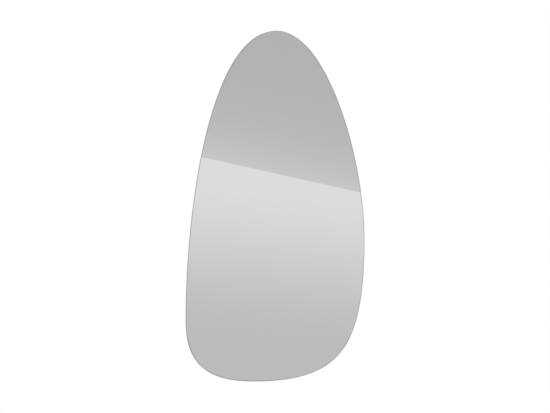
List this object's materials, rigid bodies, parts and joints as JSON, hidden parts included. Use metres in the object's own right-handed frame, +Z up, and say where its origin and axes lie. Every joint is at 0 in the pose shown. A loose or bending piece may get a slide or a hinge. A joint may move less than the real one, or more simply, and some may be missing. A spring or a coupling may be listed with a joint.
{
  "type": "irregular shaped wall mirror",
  "caption": "Frameless wall mirror with a lopsided pebble outline, glued to a set-in board and hung on a hooked aluminium rail that stays on the wall.",
  "frame": {"origin": "middle of the wall rail's line of fixing holes, on the wall's surface", "axes": "+X right as seen from the front, +Y into the wall, +Z up"},
  "size_m": [0.5101, 0.025, 1],
  "materials": {
    "glass": "clear float glass with a flat polished edge and small arrises",
    "silver": "mirror silver",
    "backing_paint": "grey-green mirror backing paint, satin",
    "safety_film": "white woven safety film",
    "adhesive": "cured mirror adhesive, pale grey",
    "foam_tape": "white foam",
    "mdf": "raw fibreboard",
    "aluminium": "extruded, mill finish",
    "zinc_steel": "zinc plated",
    "bumper_rubber": "black moulded rubber, matt"
  },
  "bodies": {
    "wall": {"wall_rail": "aluminium"},
    "mirror": {"mirror_glass": "glass", "silver_coating": "silver", "backing_paint": "backing_paint", "safety_film": "safety_film", "adhesive_bead_1": "adhesive", "adhesive_bead_2": "adhesive", "adhesive_bead_3": "adhesive", "adhesive_bead_4": "adhesive", "adhesive_bead_5": "adhesive", "mounting_tape_1": "foam_tape", "mounting_tape_2": "foam_tape", "mounting_tape_3": "foam_tape", "mounting_tape_4": "foam_tape", "backing_board": "mdf", "board_rail": "aluminium", "board_rail_screws": "zinc_steel", "bumper_left": "bumper_rubber", "bumper_right": "bumper_rubber", "bumper_washers": "zinc_steel", "bumper_screws": "zinc_steel"}
  },
  "joints": [
    {"name": "lift_off", "type": "slide", "parent": "wall", "child": "mirror", "axis": [0, 0, 1], "range_m": [0, 0.02]}
  ]
}
